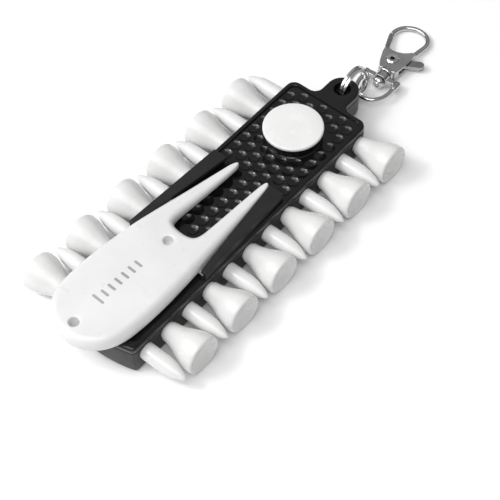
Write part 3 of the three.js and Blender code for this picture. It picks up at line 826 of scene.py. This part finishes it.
def make_divot_tool():
    outline = tool_outline()
    shell = Shell()
    loops = []
    for step in range(7):
        angle = math.pi / 2 * step / 6
        height = TOOL_LOWER_ROUND * (1 - math.cos(angle))
        loops.append(tool_layer(shell, outline, 0.8 * (1 - math.sin(angle)), height))
    for step in range(11):
        angle = math.pi / 2 * step / 10
        height = TOOL_THICKNESS - TOOL_UPPER_ROUND * (1 - math.sin(angle))
        loops.append(tool_layer(shell, outline, 1 - math.cos(angle), height))
    for lower, upper in zip(loops, loops[1:]):
        shell.bridge(lower, upper)
    cord_top, cord_low = tool_hole(shell, TOOL_CORD_HOLE_Y, TOOL_BOTTOM)
    blind_top, blind_floor = tool_hole(shell, TOOL_BLIND_HOLE_Y, TOOL_BLIND_FLOOR)
    shell.fan(blind_floor, (0, TOOL_BLIND_HOLE_Y, TOOL_BLIND_FLOOR - 0.3))
    border = [flat_at(shell.points[i]) for i in loops[-1]]
    grid = tool_face_points(border)
    shell.cap([loops[-1], cord_top, blind_top], grid, lambda x, y: tool_level(y, TOOL_THICKNESS))
    shell.cap([loops[0], cord_low])
    piece = shell.object("moulded_divot_tool", tool_frame(), 50)
    finish_piece(piece, white_tool, "tool", "tool_plastic", "divot_tool")


def make_tool_strips():
    """The two thin strips of the tool that run under the guides' lips."""
    for side, name in ((-1, "tool_strip_left"), (1, "tool_strip_right")):
        outline = []
        for y in (STRIP_START_Y, STRIP_END_Y):
            wall = guide_edge(y, GUIDE_INNER) + GUIDE_LIP_REACH
            outline.append((side * (wall - GUIDE_CLEARANCE), y))
        outline += [(x - side * STRIP_WIDTH, y) for x, y in reversed(outline)]
        if side < 0:
            outline.reverse()
        strip = slab([Vector(p) for p in outline], TOOL_BOTTOM, TOOL_BOTTOM + STRIP_THICKNESS, 0.15)
        finish_piece(strip.object(name, holder_frame, 30), white_tool, "tool", "tool_plastic")


def make_tool_print():
    """A plain row of grey printed bars, in place of the printed word."""
    for index in range(PRINT_BARS):
        y = PRINT_FIRST_Y + PRINT_PITCH * index
        length = 2.2 if index else 3.6
        x = -0.3 - length / 2
        outline = arc(x, y, PRINT_HALF_WIDTH, 90, 270, 8)
        outline += arc(x + length, y, PRINT_HALF_WIDTH, -90, 90, 8)
        shell = Shell()
        low = shell.loop([(px, py, tool_level(py, TOOL_THICKNESS) - 0.03) for px, py in outline])
        high = shell.loop([(px, py, tool_level(py, TOOL_THICKNESS) + 0.012) for px, py in outline])
        shell.bridge(low, high)
        shell.cap([low])
        shell.cap([high])
        piece = shell.object(f"tool_print_{index}", tool_frame(), 30)
        finish_piece(piece, grey_print, "tool", "tool_plastic")


# ---- ball marker ----
def make_ball_marker():
    low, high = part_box("ball_marker")
    radius = (high.x - low.x) / 2 / MM
    top = (high.z - rim_z) / MM
    peg_low = (low.z - rim_z) / MM
    low_face = top - MARKER_THICKNESS
    profile = [
        (0, peg_low), (PEG_RADIUS - 0.3, peg_low), (PEG_RADIUS, peg_low + 0.3), (PEG_RADIUS, low_face),
        (radius - 0.4, low_face), (radius - 0.12, low_face + 0.12), (radius, low_face + 0.4),
        (radius, top - 0.5), (radius - 0.07, top - 0.25), (radius - 0.24, top - 0.08),
        (radius - 0.5, top), (radius * 0.5, top), (0, top),
    ]
    centre = marker_centre()
    shell = turned(profile, 96, Matrix.Translation(Vector((0, centre.y, 0))))
    piece = shell.object("moulded_ball_marker", holder_frame, 60)
    finish_piece(piece, white_marker, "marker", "marker_plastic", "ball_marker")


# ---- tees ----
TEE_SHAFT = 2.65
TEE_HEAD = 6.1
TEE_POINT_LENGTH = 7.4
# (distance from the point, radius)
TEE_POINT = [(0.0, 0.3), (0.5, 0.75), (1.6, 1.3), (3.2, 1.85), (5.0, 2.35), (TEE_POINT_LENGTH, TEE_SHAFT)]
# (distance out from the holder's wall, radius)
TEE_FLARE = [(0.55, 3.0), (3.0, 3.4), (5.4, 4.15), (7.6, 5.05), (9.6, 5.75), (11.3, 6.06), (12.7, TEE_HEAD)]
TEE_RIM = [(0.08, 0.42), (0.28, 0.12), (0.6, 0), (0.95, 0.12), (1.5, 0.5)]  # (inwards, below the top)


def tee_profile(length, head_radius, wall):
    """(radius, height) points from the tee's point to its cup; wall is the height of the holder's wall."""
    points = [Vector((radius, out)) for out, radius in TEE_POINT]
    bare = wall - TEE_POINT_LENGTH
    shaft = [Vector((TEE_SHAFT, TEE_POINT_LENGTH + bare * i / 8)) for i in range(1, 9)]
    flare = [Vector((TEE_SHAFT, wall + 0.3))]
    flare += [Vector((radius * head_radius / TEE_HEAD, wall + out)) for out, radius in TEE_FLARE]
    curve = spline(points, 0.35, False) + shaft + spline(flare, 0.35, False)
    rim = [(head_radius - inward, length - drop) for inward, drop in TEE_RIM]
    cup = [(head_radius * 0.5, length - 1.1), (0, length - 1.3)]
    return [(0, 0)] + [(p.x, p.y) for p in curve] + rim + cup


def make_tees():
    for index in range(TEE_COUNT):
        node = f"tee_{index + 1:02d}"
        low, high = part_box(node)
        head_side = joints[f"{node}_pull"]["axis"][0]
        length = (high.x - low.x) / MM
        point_x = low.x if head_side > 0 else high.x
        wall = half_width + abs(point_x) / MM
        radius = (high.y - low.y) / 2 / MM
        turn = Matrix.Rotation(math.copysign(math.pi / 2, head_side), 4, "Y")
        centre = Vector((point_x, (low.y + high.y) / 2, (low.z + high.z) / 2))
        local = Matrix.Translation(centre) @ turn @ Matrix.Scale(MM, 4)
        shell = turned(tee_profile(length, radius, wall), 64, Matrix.Identity(4))
        piece = shell.object(f"moulded_{node}", local, 60)
        finish_piece(piece, white_tee, f"{node}_body", "tee_plastic", node)


# ---- split ring ----
def make_split_ring():
    low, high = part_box("split_ring")
    centre = Vector(joints["loop_swing"]["pos_m"])
    radius = (high.z - low.z) / 2 / MM - RING_RADIAL
    width = (high.x - low.x) / MM
    pitch = (width - 2 * RING_AXIAL) / RING_TURNS
    steps = 240
    round_edge = 0.28
    section = []
    for sign_x, sign_y, start in [(1, 1, 0), (-1, 1, 90), (-1, -1, 180), (1, -1, 270)]:
        section += arc(sign_x * round_edge, sign_y * round_edge, round_edge, start, start + 90, 4)
    half = 2 * round_edge
    section = [(r * RING_RADIAL / half, a * RING_AXIAL / half) for r, a in section]
    shell = Shell()
    rings = []
    for i in range(steps + 1):
        turn = RING_TURNS * i / steps
        angle = 2 * math.pi * turn + 0.4
        x = (turn - RING_TURNS / 2) * pitch
        rings.append(shell.loop([
            (x + a, (radius + r) * math.cos(angle), (radius + r) * math.sin(angle)) for r, a in section
        ]))
    for lower, upper in zip(rings, rings[1:]):
        shell.bridge(lower, upper)
    for ring in (rings[0], rings[-1]):
        shell.fan(ring, sum((shell.points[i] for i in ring), Vector()) / len(ring))
    piece = shell.object("coiled_split_ring", Matrix.Translation(centre) @ Matrix.Scale(MM, 4), 50)
    finish_piece(piece, ring_plate, "ring", "ring_steel", "split_ring")


# ---- swivel snap clasp ----
def round_section(radius, sides=20):
    return [(x, y) for x, y, _ in circle(radius, sides)]


def make_swivel_loop():
    bow = [(-1, 0.2), (-1.0, -2.5), (-0.98, -5.0), (-0.84, -7.6), (-0.5, -9.9), (0, -LOOP_DEPTH)]
    bow += [(-share, y) for share, y in reversed(bow[:-1])]
    line = spline([(share * LOOP_HALF_WIDTH, y) for share, y in bow], 0.4, False)
    wire = swept(line, round_section(LOOP_WIRE))
    bar_outline = [
        (-6.2, -0.9), (-2.4, -1.0), (2.4, -1.0), (6.2, -0.9),
        (6.2, 0.9), (2.4, 1.0), (-2.4, 1.0), (-6.2, 0.9),
    ]
    bar = slab([Vector(p) for p in bar_outline], -0.9, 0.9, 0.25)
    shells = [bar, wire, rod(2.5, -1.3, 1.3, 40)]
    for side in (-1, 1):
        shells.append(rod(1.15, -2.4, 1.0, 24, x=side * LOOP_HALF_WIDTH, edge=0.3))
    bore = rod(SWIVEL_BORE, -4, 4, 32, edge=0)
    piece = joined("cast_swivel_loop", shells, clasp_frame, [bore], CAST_VOXEL, CAST_SMOOTHING)
    finish_piece(piece, clasp_plate, "loop", "clasp_metal", "swivel_loop")


def make_swivel_stem():
    profile = [
        (0, -3.3), (0.55, -3.3), (0.75, -2.95), (0.95, -3.05), (1.35, -3.1), (1.75, -2.8),
        (2.0, -2.3), (2.0, -1.75), (1.85, -1.6), (1.15, -1.6), (1.15, 4.2), (0, 4.2),
    ]
    shell = turned(profile, 40, Matrix.Rotation(-math.pi / 2, 4, "X"))
    piece = shell.object("turned_swivel_stem", clasp_frame, 40)
    finish_piece(piece, rivet_plate, "hook", "clasp_metal", "swivel_stem")


# the hook's plate, the centre line of its wire, and the gate with its thumb lever
BODY_OUTLINE = [
    (-3.0, 3.2), (3.0, 3.2), (3.6, 6.0), (4.0, 9.0), (4.2, 12.0), (4.0, 14.7), (2.7, 15.0), (1.8, 14.1),
    (0.5, 13.1), (-1.1, 12.5), (-3.0, 12.3), (-4.9, 12.6), (-6.1, 12.7), (-5.7, 10.2), (-4.5, 6.6),
]
HOOK_LINE = [
    (3.15, 13.4), (3.35, 16.0), (3.9, 19.0), (4.25, 21.3), (3.9, 23.3), (2.6, 25.2), (0.5, 26.4),
    (-2.1, 26.8), (-4.5, 26.1), (-6.4, 24.7), (-7.5, 22.8), (-7.8, 21.2), (-7.8, 20.1),
]
GATE_OUTLINE = [
    (-8.25, 19.6), (-7.3, 19.7), (-6.2, 16.0), (-5.2, 13.4), (-3.7, 11.4), (-2.0, 10.6), (0.6, 10.4),
    (3.2, 11.6), (6.8, 13.4), (7.9, 13.2), (8.4, 12.3), (8.1, 11.3), (7.3, 10.8), (3.8, 9.2),
    (0.8, 7.1), (-0.4, 6.7), (-2.0, 6.8), (-3.2, 8.0), (-4.4, 10.2), (-6.1, 12.9), (-7.1, 15.7),
]


def make_hook():
    plate = slab([Vector(p) for p in BODY_OUTLINE], -BODY_HALF_THICKNESS, BODY_HALF_THICKNESS, 0.35)
    collar_profile = [(0, 1.6), (2.45, 1.6), (2.75, 1.9), (2.75, 2.6), (2.3, 3.0), (1.9, 4.0), (0, 4.0)]
    collar = turned(rounded(collar_profile, 0.25), 40, Matrix.Rotation(-math.pi / 2, 4, "X"))
    wire = swept(spline(HOOK_LINE, 0.4, False), round_section(HOOK_WIRE))
    half = SLOT_HALF_THICKNESS
    slots = [box((-10, 5.3, -half), (1.8, 17, half)), box((1.7, 5.3, -half), (9, 12.9, half))]
    rivet_hole = rod(RIVET_BORE, -3, 3, 32, "z", rivet_at.x, rivet_at.y, 0)
    stem_hole = rod(SWIVEL_BORE, 1, 4.5, 32, edge=0)
    cutters = slots + [rivet_hole, stem_hole]
    piece = joined("cast_hook", [plate, collar, wire], clasp_frame, cutters, CAST_VOXEL, CAST_SMOOTHING)
    finish_piece(piece, clasp_plate, "hook", "clasp_metal", "hook_body")


def make_gate():
    outline = [Vector(p) for p in GATE_OUTLINE]
    plate = slab(spline(outline, 0.5, True), -GATE_HALF_THICKNESS, GATE_HALF_THICKNESS, 0.18)
    hole = rod(RIVET_BORE, -3, 3, 32, "z", rivet_at.x, rivet_at.y, 0)
    piece = joined("pressed_gate", [plate], clasp_frame, [hole])
    finish_piece(piece, gate_plate, "gate", "gate_metal", "gate_lever")


def make_rivet():
    inner, outer = 1.65, 2.05
    profile = [
        (0.7, -outer + 0.15), (0.95, -outer), (1.9, -outer), (2.1, -outer + 0.2), (2.1, -inner),
        (1.15, -inner), (1.15, inner), (2.1, inner), (2.1, outer - 0.2), (1.9, outer),
        (0.95, outer), (0.7, outer - 0.15),
    ]
    place = Matrix.Translation(Vector((rivet_at.x, rivet_at.y, 0)))
    piece = turned(profile, 40, place).object("rolled_rivet", clasp_frame, 40)
    finish_piece(piece, rivet_plate, "hook", "rivet_metal", "gate_rivet")


# ---- studio ----
CAMERA_AZIMUTH = 41.99
CAMERA_ELEVATION = 54.5
CAMERA_ROLL = -2.16
CAMERA_DISTANCE = 0.3826
CAMERA_LENS = 96.92
CAMERA_AIM = Vector((0.0175, 0.0454, 0.0))  # in metres, from the origin of the holder's frame

# name, place in metres, (width, height) in metres and power in watts; each faces the origin
SOFTBOXES = [
    ("softbox_left", (-0.55, -0.35, 0.65), (0.7, 0.7), 3.6),
    ("softbox_front", (0.15, -0.45, 0.85), (0.8, 0.8), 5.5),
    ("glint", (-0.36, -0.44, 0.66), (0.26, 0.16), 1.9),
]


def make_camera():
    azimuth = math.radians(CAMERA_AZIMUTH)
    elevation = math.radians(CAMERA_ELEVATION)
    roll = math.radians(CAMERA_ROLL)
    level = math.cos(elevation)
    back = Vector((math.sin(azimuth) * level, -math.cos(azimuth) * level, math.sin(elevation)))
    right = Vector((math.cos(azimuth), math.sin(azimuth), 0))
    above = back.cross(right)
    turned_right = right * math.cos(roll) + above * math.sin(roll)
    turned_up = above * math.cos(roll) - right * math.sin(roll)
    data = bpy.data.cameras.new("camera")
    data.lens = CAMERA_LENS
    data.sensor_width = 36
    data.clip_start = 0.01
    camera = bpy.data.objects.new("camera", data)
    bpy.context.scene.collection.objects.link(camera)
    aim = holder_origin + CAMERA_AIM
    axes = Matrix((turned_right, turned_up, back)).transposed().to_4x4()
    camera.matrix_world = Matrix.Translation(aim + back * CAMERA_DISTANCE) @ axes
    bpy.context.scene.camera = camera


def make_softbox(name, place, size, power):
    data = bpy.data.lights.new(name, "AREA")
    data.shape = "RECTANGLE"
    data.size, data.size_y = size
    data.energy = power
    light = bpy.data.objects.new(name, data)
    bpy.context.scene.collection.objects.link(light)
    light.location = place
    light.rotation_mode = "QUATERNION"
    light.rotation_quaternion = (-Vector(place)).to_track_quat("-Z", "Y")


def make_studio():
    low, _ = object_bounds()
    shell = Shell()
    shell.faces.append(tuple(shell.loop([(-2, -2, 0), (2, -2, 0), (2, 2, 0), (-2, 2, 0)])))
    floor = shell.object("floor", Matrix.Translation(Vector((0, 0, low.z))))
    material, nodes, links, shader = new_material("floor_paper")
    coordinates = nodes.new("ShaderNodeTexCoord")
    fibre = noise(nodes, links, 300, 4, coordinates)
    paper = two_tone(nodes, links, fibre, (0.94, 0.94, 0.94), (0.96, 0.96, 0.96))
    links.new(paper, shader.inputs["Base Color"])
    shader.inputs["Roughness"].default_value = 0.9
    floor.data.materials.append(material)
    for softbox in SOFTBOXES:
        make_softbox(*softbox)
    make_surroundings()
    bpy.context.scene.view_settings.view_transform = "Standard"


def make_surroundings():
    """A soft sky that darkens towards the horizon, so that plated edges have something dark to reflect."""
    world = bpy.data.worlds.new("studio")
    world.use_nodes = True
    nodes, links = world.node_tree.nodes, world.node_tree.links
    direction = nodes.new("ShaderNodeTexCoord")
    parts = nodes.new("ShaderNodeSeparateXYZ")
    ramp = nodes.new("ShaderNodeValToRGB")
    ramp.color_ramp.elements[0].position = 0.1
    ramp.color_ramp.elements[0].color = (0.12, 0.12, 0.12, 1)
    ramp.color_ramp.elements[1].position = 0.55
    links.new(direction.outputs["Generated"], parts.inputs["Vector"])
    links.new(parts.outputs["Z"], ramp.inputs["Fac"])
    links.new(ramp.outputs["Color"], nodes["Background"].inputs["Color"])
    nodes["Background"].inputs["Strength"].default_value = 0.36
    bpy.context.scene.world = world


make_camera()
make_top_plate()
make_tee_block()
make_guides()
make_divot_tool()
make_tool_strips()
make_tool_print()
make_ball_marker()
make_tees()
make_split_ring()
make_swivel_loop()
make_swivel_stem()
make_hook()
make_gate()
make_rivet()
make_studio()
